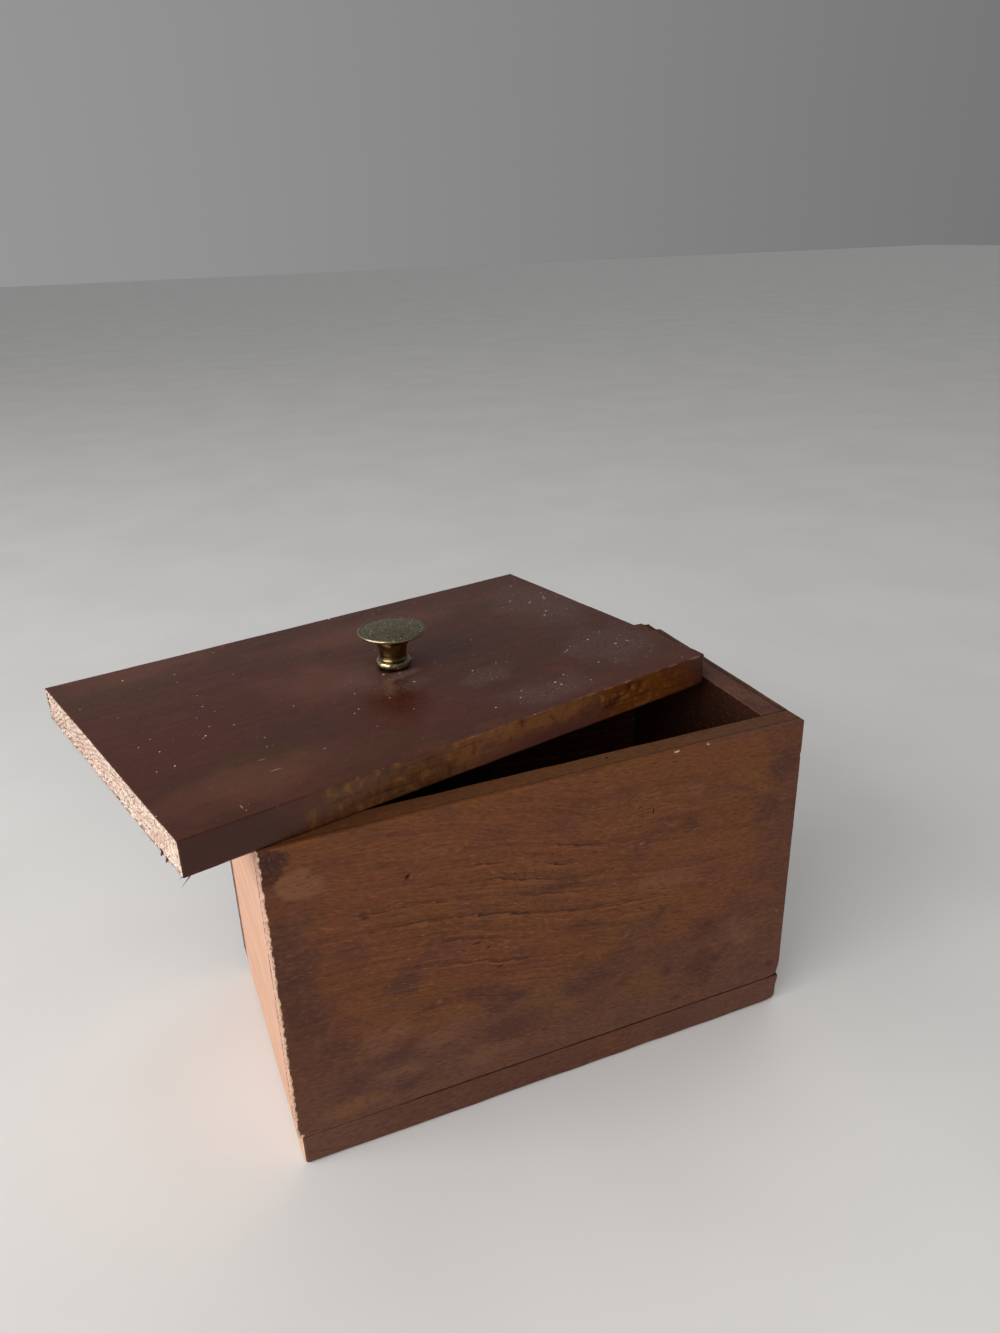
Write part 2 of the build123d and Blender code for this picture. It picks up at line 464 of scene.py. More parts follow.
LID_EDGE_MARKS = [
    # painted reflection: darker red where the knob's dark reflection hides the varnish's sheen
    ("knob_reflection", 0.7, (68, 28, 14)),
    ("edge_left", 0.85, (60, 30, 22)),
    ("edge_tan", 0.85, (90, 55, 29)),
    ("edge_pale", 0.6, (132, 84, 52)),
    ("edge_orange", 0.9, (106, 56, 14)),
]
# the second mark is painted shade on the lid's underside
LID_LAST_MARKS = [("edge_purple", 0.8, (94, 55, 47)), ("inner", 0.9, (58, 34, 24))]


def stained_wood(name, grain_axis, holes=(), seed=0.0):
    """Brown stained pine: soft patches, lines that follow its rings with painted shade and light beside them,
    dark pores and its mesh's marks.
    """
    f = Finish(name, RED_BROWN)
    fall = f.node("ShaderNodeCombineXYZ", None, None, f.mark("flow")).outputs[0]
    wavy = f.vector("ADD", f.warped(along(grain_axis, 38, 22), (2.0, 2.0, 1.2)), fall)

    def field(length, across, detail, offset, place=wavy):
        return f.grain(along(grain_axis, length, across), detail, seed + offset, place)

    patches = field(38, 15, 2, 0)
    clouds = field(17, 11, 3, 11, None)
    streaks = field(26, 1.9, 2, 3)
    lines = field(30, 0.85, 2, 13)
    felt = field(1.9, 0.65, 3, 5)
    pores = field(3, 0.4, 1, 8)
    flecks = field(2, 0.4, 1, 17)
    tears = field(4.5, 1.3, 3, 19, None)
    f.tint(patches, 0.36, 0.64, 1.0, GOLD_BROWN)
    f.tint(clouds, 0.48, 0.68, 0.6, PURPLE_BROWN)
    f.tint(streaks, 0.52, 0.72, 0.3, DARK_BROWN)
    f.lay_marks(STAIN_MARKS)
    f.tint(lines, 0.54, 0.68, 0.38, DARK_BROWN, f.mark("lined"))
    f.tint(lines, 0.45, 0.32, 0.3, LIGHT_BROWN, f.mark("lined"))

    # Each growth ring: painted shade above its line and a painted lit band below it, as its crease would
    # shade them, and the torn line itself
    over = f.plus(f.mark("ring_over"), f.span(tears, 0.25, 0.75, -0.5, 0.5))
    ringed = f.times(f.mark("ring_strength"), f.span(felt, 0.25, 0.55, 0.45, 1.0))
    above = f.times(f.span(over, 1.9, 0.1), f.span(over, -0.3, 0.0))
    below = f.times(f.span(over, -1.7, -0.4), f.span(over, -0.15, -0.4))
    line = f.span(f.math("ABSOLUTE", over), 0.34, 0.1)
    for band, share, colour in ((above, 0.4, DARK_BROWN), (below, 0.5, LIGHT_BROWN), (line, 0.7, PORE_BROWN)):
        f.lay(f.times(f.times(band, ringed), share), colour)

    f.tint(felt, 0.48, 0.70, 0.36, DARK_BROWN)
    f.tint(felt, 0.46, 0.30, 0.24, LIGHT_BROWN)
    flecked = f.times(f.plus(f.mark("lined", 0.5), 0.08), f.span(streaks, 0.6, 0.4, 0.2, 1.0))
    f.tint(flecks, 0.64, 0.76, 1.0, (152, 106, 80), flecked)
    pored = f.times(f.span(pores, 0.66, 0.76), f.span(clouds, 0.6, 0.4, 0.15, 1.0))
    f.lay(f.times(pored, 0.6), PORE_BROWN)
    cracks = f.span(f.cells(2.0, "DISTANCE_TO_EDGE")["Distance"], 0.10, 0.02)
    cracked = f.times(cracks, f.mark("crackle"))
    f.lay(f.times(cracked, 0.4), (44, 25, 19))
    f.tint(f.worn_edge(4, seed + 2, 1.0), 0.45, 0.05, 0.2, LIGHT_BROWN)
    # painted shade in open joints, and bare wood
    f.lay_marks(WEAR_AND_JOINT_SHADE_MARKS)
    if holes:
        hole = f.near(holes)
        f.tint(hole, 1.7, 1.1, 0.45, (96, 38, 24))
        # painted shade: the inside of each hole near black
        f.tint(hole, 1.05, 0.8, 1.0, (16, 8, 6))
    for value, height in ((streaks, 0.06), (lines, 0.05), (felt, 0.05), (pored, -0.1), (cracked, -0.15)):
        f.lift(value, height)
    return f.finish(f.span(felt, 0.3, 0.7, 0.5, 0.64), Specular_IOR_Level=0.17)


def varnished_wood(name, specks, threads, foot_radius):
    """Dark reddish varnish over the lid's top and edges, with olive bands and dust on it, a painted
    reflection of the knob and a painted shadow around its foot.
    """
    f = Finish(name, (75, 34, 21), lid_origin, LID_TURN_DEGREES)
    wavy = f.warped((60, 25, 25), (0.0, 5.0, 2.0))
    bands = f.grain((60, 14, 14), 2, 4, wavy)
    streaks = f.grain((16, 1.7, 1.7), 3, 9, wavy)
    mottle = f.grain((8, 5, 4), 3, 2)
    felt = f.grain((1.8, 0.8, 0.8), 2, 14)
    dust = f.grain(0.8, 2, 6)
    edge_streaks = f.grain((2.6, 9, 3.4), 3, 17)
    edge_lines = f.grain((11, 9, 0.7), 2, 19)
    dashes = f.grain((4.0, 0.55, 0.55), 1, 21)
    f.tint(bands, 0.42, 0.64, 0.8, (68, 35, 17))
    f.tint(streaks, 0.50, 0.70, 0.3, (52, 25, 17))
    f.tint(mottle, 0.48, 0.68, 0.45, (88, 44, 28))
    f.tint(felt, 0.5, 0.75, 0.4, (46, 20, 14))
    f.lay_marks(LID_BAND_MARKS)
    f.tint(dashes, 0.62, 0.74, 0.45, (38, 16, 12))
    f.lay_marks(LID_EDGE_MARKS)
    edge = f.plus(f.mark("edge_tan"), f.mark("edge_orange"))
    f.tint(edge_streaks, 0.52, 0.66, 0.55, (58, 31, 19), edge)
    f.tint(edge_streaks, 0.46, 0.34, 0.35, (138, 92, 46), edge)
    f.tint(edge_lines, 0.54, 0.68, 0.5, (46, 24, 14), edge)
    f.lay_marks(LID_LAST_MARKS)

    # A haze of dust, a painted shadow around the knob's foot and the arcs that its foot has scratched
    hazy = f.plus(f.mark("dusty", 0.10), 0.01)
    f.lay(f.times(hazy, f.span(dust, 0.35, 0.7, 0.3, 1.3)), (150, 132, 128))
    from_axis = f.vector("LENGTH", f.vector("MULTIPLY", f.place, (1, 1, 0)))
    wobbly = f.plus(from_axis, f.times(mottle, 0.8))
    arcs = f.span(f.math("SINE", f.times(wobbly, 2 * math.pi / ARC_SPACING)), 0.2, 0.9)
    foot_shadow_share = f.span(mottle, 0.3, 0.6, 0.6, 0.95)
    # painted shadow: a near black ring around the knob's foot
    f.tint(from_axis, foot_radius + 1.6, foot_radius, 1.0, (20, 11, 10), foot_shadow_share)
    f.lay(f.times(arcs, f.mark("arcs", 0.8)), (134, 118, 110))

    # Grains of dust, single specks and threads
    for spacing, share in ((2.6, 0.9), (1.3, 0.55)):
        scatter = f.cells(spacing)
        thick = f.plus(f.mark("dusty", 0.6), f.mark("top", 0.65))
        size = f.times(f.span(scatter["Color"], 0.42, 0.8, 0.0, 0.12), thick)
        f.lay(f.times(f.math("LESS_THAN", scatter["Distance"], size), share), (196, 180, 168))
    f.tint(f.near(specks), 1.1, 0.6, 1.0, (225, 212, 200))
    f.tint(f.near(threads), 1.1, 0.6, 0.5, (175, 150, 130))
    f.tint(f.worn_edge((5, 2, 2), 3.0, 0.6), 0.35, 0.0, 1.0, (146, 106, 80), f.mark("worn", 0.65))
    for value, height in ((streaks, 0.03), (felt, 0.015), (dust, 0.015), (f.mark("arcs"), 0.02)):
        f.lift(value, height)
    rough = f.plus(f.span(dust, 0.3, 0.75, 0.26, 0.4), f.span(from_axis, 14.0, 6.0, 0.0, 0.2))
    return f.finish(rough, Specular_IOR_Level=0.23)


def bare_wood(name, grain_axis):
    """Clean unfinished pine, pinkish, with faint lines along the grain."""
    f = Finish(name, (214, 172, 148))
    wavy = f.warped(along(grain_axis, 40, 25), (2.0, 2.0, 3.0))
    streaks = f.grain(along(grain_axis, 30, 2.6), 3, 1, wavy)
    fibres = f.grain(along(grain_axis, 6, 0.5), 2, 6, wavy)
    f.tint(streaks, 0.35, 0.65, 1.0, (205, 159, 133))
    f.tint(fibres, 0.5, 0.8, 0.4, (188, 136, 112))
    f.lift(fibres, 0.1)
    return f.finish(0.8, Specular_IOR_Level=0.3)


def sawn_wood(name, colour):
    """Raw end grain as the saw left it: pale torn fibres with dark pores between them, and painted shade in
    the saw's grooves.
    """
    f = Finish(name, colour)
    torn = f.grain((0.9, 0.9, 0.7), 3, 2)
    lumps = f.grain((5, 5, 2.5), 2, 5)
    pores = f.grain((0.6, 0.6, 0.5), 1, 9)
    f.tint(torn, 0.52, 0.36, 0.9, (154, 116, 98))
    f.tint(lumps, 0.44, 0.64, 0.7, (204, 162, 150))
    # painted shade in the saw's grooves
    f.lay(f.mark("groove", 0.85), (112, 82, 62))
    f.tint(pores, 0.62, 0.72, 0.8, (74, 48, 36))
    f.lift(torn, 0.8)
    return f.finish(0.9, Specular_IOR_Level=0.2)


def aged_brass():
    """Old turned brass: golden where it is polished, olive and speckled with tarnish on the top, with painted
    shade in its creases.
    """
    f = Finish("aged_brass", (154, 132, 88))
    speckle = f.grain(0.5, 3, 3)
    fine = f.grain(0.3, 2, 8)
    cloud = f.grain(4, 2, 7)
    lumps = f.grain((1.6, 1.6, 1.2), 2, 9)
    f.tint(cloud, 0.45, 0.62, 0.7, (104, 88, 60))
    f.lay(f.mark("patina", 0.95), (142, 129, 104))
    f.tint(cloud, 0.42, 0.60, 1.0, (122, 115, 84), f.mark("patina", 0.6))
    f.tint(speckle, 0.50, 0.64, 1.0, (66, 58, 42), f.plus(f.mark("patina", 0.45), 0.35))
    f.tint(fine, 0.58, 0.70, 1.0, (226, 216, 188), f.mark("patina", 0.9))
    dots = f.cells(1.0)
    dotted = f.math("LESS_THAN", dots["Distance"], f.span(dots["Color"], 0.4, 0.8, 0.0, 0.25))
    f.lay(f.times(dotted, f.mark("patina", 0.9)), (248, 238, 210))
    f.lay(f.mark("polish", 0.75), (218, 204, 174))
    # painted shade: near black in the foot, the rim's groove and the crease over the bead
    f.lay(f.mark("crease_shade", 0.85), (24, 18, 12))
    f.lift(speckle, 0.035)
    f.lift(f.times(lumps, f.mark("bead")), 0.3)
    rough = f.plus(f.span(speckle, 0.35, 0.65, 0.15, 0.26), f.mark("patina", 0.2))
    return f.finish(f.math("SUBTRACT", rough, f.mark("polish", 0.06)), Metallic=1.0)


def plain_steel(name, colour_low, colour_high):
    """Dull steel with a mottled plating."""
    f = Finish(name, colour_low)
    mottle = f.grain(0.8, 3, 1)
    f.tint(mottle, 0.35, 0.65, 1.0, colour_high)
    f.lift(mottle, 0.02)
    return f.finish(f.span(mottle, 0.3, 0.7, 0.36, 0.5), Metallic=1.0)


def pale_floor():
    """A plain pale floor."""
    f = Finish("pale_floor", (230, 229, 228))
    f.tint(f.grain(90, 2, 0), 0.35, 0.65, 1.0, (226, 225, 224))
    return f.finish(0.7)


# Boards of the box

front_low, front_high = node_box("front_panel")
front_y, rim_z = front_low[Y], front_high[Z]

# Growth rings that show on the front and the back: height where x is 0, and their two ends along x
FRONT_RINGS = [
    (44.5, -48, -5), (52.2, -44, 0), (59.5, -54, 38), (65.2, -62, 26), (70.2, -42, 19), (75.3, -30, 9),
    (81.3, -22, 14),
]
BACK_RINGS = [
    (36, -60, 8), (43, -40, 30), (51, -20, 62), (58.5, -8, 66), (66, 5, 58), (73, -50, 20), (84, -30, 44),
]

# Blots on the front: how ragged and how crisp they are, their seed, and each one's x, z and half sizes
FRONT_BLOTS = {
    "lined": (9, 0.8, 32, [(-10, 66, 62, 30)]),
    "dusky": (6, 0.8, 61, [
        (-74, 52, 9, 34), (-73, 64, 5, 9), (26, 45, 5, 4), (76, 60, 10, 44), (-50, 24, 32, 11),
        (12, 29, 40, 9), (62, 24, 20, 13),
    ]),
    "purple": (3.6, 0.8, 63, [
        (-46, 51.5, 4, 2.5), (-49.6, 29.2, 7, 3.5), (-61.8, 36, 5, 3), (-70.6, 50, 5, 8),
        (-72.5, 64, 5, 8), (-73, 77, 4, 5), (-15.4, 24.1, 8, 4), (-16.7, 34.6, 5, 2.5),
        (-58.6, 45.3, 3.5, 1.5), (-62, 22, 6, 3), (-44, 17, 6, 2), (-24, 40, 5, 2), (18.8, 40.4, 5, 2.5),
        (7.6, 32.3, 7, 2.5), (48.9, 39.2, 5, 3.5), (33.3, 49.2, 5, 2), (66.8, 75.1, 5, 4),
        (72.2, 87.8, 3, 4), (47.4, 24, 6, 6), (58.8, 83.6, 2.2, 1.2),
    ]),
    "dark": (1.0, 1.1, 65, [
        (48.9, 39.2, 1.6, 1.4), (57.1, 29.2, 1.3, 2.0), (46.6, 53.7, 1.1, 1.0), (53.5, 26, 2.4, 1.4),
        (35.4, 26.3, 1.8, 1.5), (73.6, 15.9, 1.6, 1.0), (18.9, 36.9, 1.2, 1.0), (8, 41.6, 1.8, 0.8),
        (20.2, 27.7, 1.4, 0.9), (18.5, 31.8, 1.3, 0.8), (-37, 40.5, 5, 0.9), (-34.9, 26.3, 2, 0.9),
        (39.3, 15.1, 2, 1), (1.9, 68.8, 6, 1.8), (7.8, 52.8, 5, 2), (40.5, 76.5, 3, 2.5),
    ]),
    "gold": (3, 1, 67, [
        (-4, 33, 7, 4), (27.3, 24.5, 8, 5), (3, 25.5, 7, 3.5), (-30, 37, 6, 2), (60, 88, 5, 3),
        (-62, 16, 9, 2.2),
    ]),
    "soft": (4.0, 0.9, 78, [
        (-34, 29.5, 7, 4), (-62, 14.5, 8, 2.5), (-51, 36, 7, 2), (-54, 31.5, 6, 2), (43, 88, 4, 2),
        (-20, 19, 9, 3), (-48, 22, 6, 2), (34, 60, 9, 4), (60, 33, 6, 4),
    ]),
    "pale": (2.0, 4, 69, [(-68.2, 89.8, 5.0, 5.0), (-36, 41.7, 1.0, 0.8), (73.5, 36.6, 0.8, 0.8)]),
}
FRONT_FACE_BLOTS = {
    "crackle": (2.2, 6, 71, [(-75.6, 97.5, 4.2, 5.6), (-72.8, 99, 3.4, 3.0)]),
    "raw": (0.5, 4, 75, [(35.4, 101.3, 0.7, 0.5), (45.7, 101.4, 0.4, 0.35), (-77.2, 11.0, 1.2, 0.6)]),
}

# Small holes in the front, with x, z and half sizes, and one in its top edge
HOLE_DEPTH = 2
FRONT_HOLES = [
    (-41.7, 83.9, 0.55, 0.5), (28.7, 84.3, 0.2, 1.0), (-53.5, 75.2, 1.2, 0.2), (-24.2, 57.4, 1.4, 0.22),
    (-21.1, 55.0, 0.6, 0.25), (-17.9, 47.4, 0.8, 0.22),
]
RIM_HOLE = ((16.6, -38.0, rim_z), (0.5, 0.4, HOLE_DEPTH))

# Dents in the front: x, z, the half size on each axis, depth and unevenness
FRONT_DENTS = [
    (-41.7, 83.9, (0.7, 2, 0.65), 1.3, 0.1), (73.6, 15.9, (1.8, 2, 1.1), 0.35, 0.25),
    (front_high[X], 90.2, (0.5, 0.6, 0.9), 0.15, 0.25), (35.4, rim_z, (0.9, 0.6, 0.5), 0.3, 0.25),
    (45.7, rim_z, (0.6, 0.5, 0.4), 0.25, 0.25),
]
NAIL_DENT_REACH, NAIL_DENT_DEPTH = (1.5, 2, 1.5), 0.07
SCRIBE_FROM_FRONT, SCRIBE_DEPTH = 1.7, 0.12
SEAM_OPENS_AT = -46.0
RING_DEPTH, RING_FADE = 0.15, 9
RING_SLOPE, RING_BEND, RING_BEND_AT, RING_BEND_LENGTH = 0.08, 5.0, -12, 22
FIBRE_ROOT, FIBRE_BEND = 0.35, 0.25
PLANE_RELIEF, LINE_RELIEF, SAW_RELIEF, END_RELIEF = 0.025, 0.035, 0.04, 0.18
RAW_LEFT_END = [1, 0, 0, 0, 0, 0]
ONE_FINISH = [0] * 6


def plane_boards(block, seed, warp=0.12):
    """The slight hollows and raised grain that a hand plane leaves on a board's faces."""
    hollows = warp * (0.5 + 0.5 * block.noise((45, 30, 30), seed))
    block.sink(hollows * np.clip(block.edge / 4, 0, 1))
    block.sink(PLANE_RELIEF * (1 + block.noise((14, 1.2, 1.2), seed + 1)))


def growth_rings(block, rings, seed):
    """Creases where the soft early wood has shrunk under each ring's hard dark line."""
    x = block.x
    bend = np.tanh((x - RING_BEND_AT) / RING_BEND_LENGTH) - math.tanh(-RING_BEND_AT / RING_BEND_LENGTH)
    fall = RING_SLOPE * x + RING_BEND * bend + 0.8 * block.noise((12, 30, 12), seed)
    height = block.z + fall
    over, strength = np.full(len(x), 99.0), np.zeros(len(x))
    for number, (level, start, end) in enumerate(rings):
        torn = 0.6 + 1.1 * noise(block.rest + 40 * number, (7, 60, 60), seed + 1)
        ring = np.clip(torn, 0.05, 1) * smooth((x - start) / RING_FADE) * smooth((end - x) / RING_FADE)
        nearest = np.abs(height - level) < np.abs(over)
        over[nearest] = (height - level)[nearest]
        strength[nearest] = ring[nearest]
    block.marks.update(flow=fall, ring_over=over, ring_strength=strength)
    crease = np.where(over > 0, smooth(1 - over / 0.9), np.exp(np.minimum(over, 0) / 1.2))
    block.sink(RING_DEPTH * strength * crease)
    lines = noise(np.stack([x, block.y, height], -1), (24, 60, 1.1), seed + 2)
    block.sink(LINE_RELIEF * block.marks["lined"] * (1 + lines))


def seam_gap(block):
    """How open the joint over the bottom board is along the front, 0 to 1."""
    opened = smooth((block.x - SEAM_OPENS_AT + 3) / 6)
    return opened * (0.8 + 0.2 * block.noise((9, 50, 50), 71)) + 0.02


def mark_front(block):
    """The stains, patches and lines that the front panel carries, with painted shade in its open joint and on
    its inside face.
    """
    on_front, on_top = block.on(FRONT), block.on(TOP)
    block.paint(FRONT_BLOTS)
    block.paint(FRONT_FACE_BLOTS, within=on_front)
    dull_below = 0.75 * smooth((46 - block.z) / 34 + 0.25 * block.noise((16, 16, 9), 62)) * on_front
    behind_scribe = block.y - (front_y + SCRIBE_FROM_FRONT + 0.12 * block.noise(12, 72))
    ragged_end = 0.3 + 0.5 * block.noise((1.2, 1.2, 0.8), 73)
    frayed = on_front * smooth(1 - (block.from_side(LEFT) - ragged_end) / 0.25)
    block.marks.update(
        dull=np.maximum(dull_below, on_top * smooth((block.x - 30) / 40) * 0.8),
        rim=on_top * smooth(behind_scribe / 0.3),
        scribe=on_top * smooth(1.2 - np.abs(behind_scribe) / 0.28),
        # painted shade on the panel's inside face
        inner=block.on(BACK) * smooth(block.from_side(TOP) / 0.4),
        # painted shade in the open joint over the bottom board
        seam=on_front * smooth(1.3 - block.from_side(UNDER) / 0.35) * seam_gap(block),
        raw=np.maximum(block.marks["raw"], frayed),
    )


def fray(block, places, onward, spread, lengths, width, seed, lowest=-math.inf):
    """Torn fibres that stand out of an edge at those places, about in the onward direction."""
    pick = np.random.default_rng(seed)
    for place in places:
        aim_at = np.array(onward, float) + pick.uniform(-1, 1, 3) * spread
        length = pick.uniform(*lengths)
        bend = pick.uniform(-1, 1, 3) * FIBRE_BEND * length
        reach = aim_at / np.linalg.norm(aim_at) * length
        line = np.array([place - reach * FIBRE_ROOT, place + (reach + bend) * 0.5, place + reach])
        line[:, Z] = np.maximum(line[:, Z], lowest)
        block.splinter(line, pick.uniform(0.6, 1.0) * width, 1)


def edge_places(start, end, count, scatter, seed):
    """Places along an edge, unevenly spaced and scattered around it."""
    pick = np.random.default_rng(seed)
    share = np.sort(pick.uniform(0, 1, count))[:, None]
    start, end = np.array(start, float), np.array(end, float)
    return start + (end - start) * share + pick.uniform(-1, 1, (count, 3)) * scatter


def make_front_panel(finishes):
    low, high = front_low, front_high
    fine = (
        [(-41.7, 0.6, 0.3), (35.4, 1.4, 0.4), (45.7, 1.0, 0.4), (73.6, 1.6, 0.4)],
        [(front_y + SCRIBE_FROM_FRONT, 0.4, 0.2)],
        [(83.9, 0.6, 0.3), (15.9, 1.0, 0.4)],
    )
    block = Block(low, high, (2.6, 0.9, 0.42), fine)
    raw_end = block.on(LEFT)
    near_seam = np.clip(1 - block.from_side(UNDER) / 2, 0, 1)
    wear = (0.5 + 0.25 * block.noise(7, 21)) * (1 - near_seam) + near_seam * (0.03 + 0.4 * seam_gap(block))
    wear += 1.1 * smooth(1 - np.hypot(block.from_side(RIGHT), block.from_side(UNDER)) / 5)
    block.round_edges(np.clip(wear - 0.3 * raw_end, 0.04, 1.6))
    plane_boards(block, 31)
    mark_front(block)
    growth_rings(block, FRONT_RINGS, 33)
    block.sink(SCRIBE_DEPTH * block.marks["scribe"])
    for x, z, reach, depth, uneven in FRONT_DENTS:
        block.dent((x, front_y, z), reach, depth, uneven)
    for x, z in nail_places("front_nails", X, Z):
        block.dent((x, front_y, z), NAIL_DENT_REACH, NAIL_DENT_DEPTH)
    block.sink(END_RELIEF * (1 + block.noise(0.8, 41)) * raw_end)
    foot = np.array((low[X] + 0.2, front_y + 0.2, 11))
    arris = edge_places(foot, foot + (0, 0, 90), 150, (0.15, 0.2, 0), 42)
    fray(block, arris, (0.35, -1, 0), (0.8, 0.3, 0.8), (0.4, 1.1), 0.32, 43)
    piece = block.build("front_panel_wood", finishes, RAW_LEFT_END)
    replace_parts(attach(piece, "box"), "front_panel")


NAIL_HEAD_RADIUS = 1.25
NAIL_PIT = ((0.0, 1.3, 1.55), (0.7, 0.7, 0.0))
BOTTOM_NAIL_FROM_END = 19.0


def nail_ends(node, axis):
    """The middles of a node's first and last nail heads along an axis."""
    low, high = node_box(node)
    return low[axis] + NAIL_HEAD_RADIUS, high[axis] - NAIL_HEAD_RADIUS


def nail_places(node, across, up, count=3):
    """The middles of a node's nail heads: a row of them up each of its two ends."""
    return list(itertools.product(nail_ends(node, across), np.linspace(*nail_ends(node, up), count)))


def fine_around(values, reach=2.2, step=0.3):
    return [(value, reach, step) for value in sorted(set(np.round(values, 3)))]


def make_back_panel(finishes):
    low, high = node_box("back_panel")
    places = nail_places("back_nails", X, Z)
    fine = (fine_around([x for x, z in places]), [], fine_around([z for x, z in places]))
    block = Block(low, high, (2.4, 0.8, 0.7), fine)
    block.round_edges(np.clip(0.5 + 0.25 * block.noise(7, 22), 0.15, 0.9))
    plane_boards(block, 35)
    block.marks["lined"] = np.full(len(block.rest), 0.6)
    growth_rings(block, BACK_RINGS, 37)
    block.marks.update(
        # painted shade on the panel's inside face
        inner=block.on(FRONT) * smooth(block.from_side(TOP) / 0.4),
        dusky=smooth(block.noise((28, 28, 14), 38) + 0.3),
        rim=block.on(TOP),
    )
    block.dent((high[X], (low[Y] + high[Y]) / 2, high[Z]), (3.4, 14, 2.6), 1.1, 0.1)
    for place in places:
        block.pit(BACK, place, *NAIL_PIT)
    piece = block.build("back_panel_wood", finishes, ONE_FINISH)
    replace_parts(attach(piece, "box"), "back_panel")


def make_side(node, finishes, finish_of_side, inner_side, seed):
    block = Block(*node_box(node), (0.7, 2.0, 0.8))
    on_top, from_right, from_front = block.on(TOP), block.from_side(RIGHT), block.from_side(FRONT)
    block.round_edges(np.clip(0.4 + 0.2 * block.noise(7, seed), 0.12, 0.8))
    block.sink(SAW_RELIEF * (1 + block.noise((1.2, 14, 1.2), seed + 1)))
    # A dark line 1.8 mm in from the right face along the top, and painted shade at the top's front right
    # corner, where the front panel meets it
    from_scribe_or_shaded_corner = np.abs(1.8 - from_right + 0.3 * block.noise(9, seed + 2))
    from_scribe_or_shaded_corner = np.minimum(from_scribe_or_shaded_corner, 0.1 + np.hypot(from_right, from_front) / 3)
    block.marks.update(
        # painted shade on the side's inside face
        inner=block.on(inner_side) * smooth(block.from_side(TOP) / 0.4),
        dull=on_top * 0.95,
        purple=on_top * smooth(0.4 + block.noise(6, seed + 3)),
        scribe=on_top * smooth(1.5 - from_scribe_or_shaded_corner / 0.45),
        # painted shade in the joints at the side's two ends, where the front and back panels meet it
        seam=smooth(1.3 - np.minimum(from_front, block.from_side(BACK)) / 0.3),
    )
    piece = block.build(node + "_wood", finishes, finish_of_side)
    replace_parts(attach(piece, "box"), node)


def make_bottom(finishes):
    nail_x = front_high[X] - BOTTOM_NAIL_FROM_END
    rows = itertools.product((-nail_x, nail_x, 0.0), nail_ends("bottom_nails", Y))
    places = [*rows, *((x, 0.0) for x in nail_ends("bottom_nails", X))]
    fine = (fine_around([x for x, y in places]), fine_around([y for x, y in places]), [])
    block = Block(*node_box("bottom_board"), (2.6, 1.4, 0.7), fine, (2.0, 0.25))
    above = smooth((block.z - 5) / 4)
    from_right = block.from_side(RIGHT)
    from_ends = np.minimum(block.from_side(LEFT), from_right)
    worn = 1.35 + 0.35 * block.noise(8, 23) + 0.9 * smooth(1 - from_right / 6)
    top_radius = 0.03 + 0.4 * seam_gap(block) + 0.9 * smooth(1 - from_ends / 5)
    block.round_edges(np.clip(worn * (1 - above) + top_radius * above, 0.04, 2.4))
    plane_boards(block, 39)
    middle = smooth(1.5 - np.abs(block.x + 4) / 42)
    block.marks.update(
        dusky=middle * smooth(0.75 + 0.8 * block.noise((20, 20, 9), 45)),
        purple=middle * smooth(0.1 + 0.9 * block.noise((16, 16, 9), 46)),
        dull=0.4 + 0.6 * (1 - middle),
        # painted shade in the open joint under the front panel
        seam=block.on(FRONT) * smooth(1.3 - block.from_side(TOP) / 0.4) * seam_gap(block),
        # painted shade on the floor inside the box
        inner=block.on(TOP),
    )
    for place in places:
        block.pit(UNDER, place, *NAIL_PIT)
    piece = block.build("bottom_board_wood", finishes, RAW_LEFT_END)
    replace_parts(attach(piece, "box"), "bottom_board")


# Lid, in its own frame, with u along its length and v from its front to its back

# Light specks on its top: u, v and radius, and threads: u, v and half sizes
LID_SPECKS = [
    (-68.4, 42.7, 0.3), (-54.6, 37.0, 0.21), (-61.8, -7.6, 0.3), (-74.4, -8.7, 0.225),
    (-73.8, -18.4, 0.2625), (-78.4, -18.5, 0.21), (-53.4, -6.2, 0.21), (-35.7, -5.7, 0.24),
    (16.6, -17.6, 0.2625), (19.5, -38.0, 0.24), (3.0, 49.0, 0.3375), (-18.6, -9.7, 0.225),
    (-22.4, -19.1, 0.24), (7.6, -42.1, 0.2625), (16.7, -41.4, 0.24), (25.4, -17.3, 0.225),
]
LID_THREADS = [(-55.4, -29.2, 1.2, 0.175), (-54.7, -36.2, 1.8, 0.21), (-68.2, -47.3, 0.25, 1.05)]
ARC_SPACING = 0.95

# Blots on its top: how ragged and how crisp they are, their seed, and each one's u, v and half sizes
LID_TOP_BLOTS = {
    "olive": (5, 1, 81, [(-57, -31, 18, 8), (-72, 30, 14, 9), (-30, -42, 16, 6)]),
    "purple": (5, 1, 83, [
        (-43, -20, 12, 7), (-9, 6, 9, 6), (30, 0, 18, 10), (58, -20, 14, 20), (-78, -36, 8, 12),
        (14, -34, 9, 6),
    ]),
    "dusty": (5, 1, 85, [
        (66, 14, 13, 20), (62, -28, 14, 14), (26, -42, 14, 6), (-9, -5, 8, 7), (-6, -14, 7, 5),
        (18, -24, 8, 5),
    ]),
    "warm": (6, 0.8, 88, [(-64, -38, 20, 8), (-20, 2, 14, 12), (10, 30, 30, 8), (-60, 44, 22, 8)]),
    # painted reflection: where the knob's dark reflection lies on the varnish
    "knob_reflection": (3, 1, 86, [(-12.1, -23.3, 9, 7)]),
    "arcs": (1, 1, 87, [(1.2, -6.8, 4.4, 1.8), (-2.2, -8.2, 3.4, 1.2)]),
}

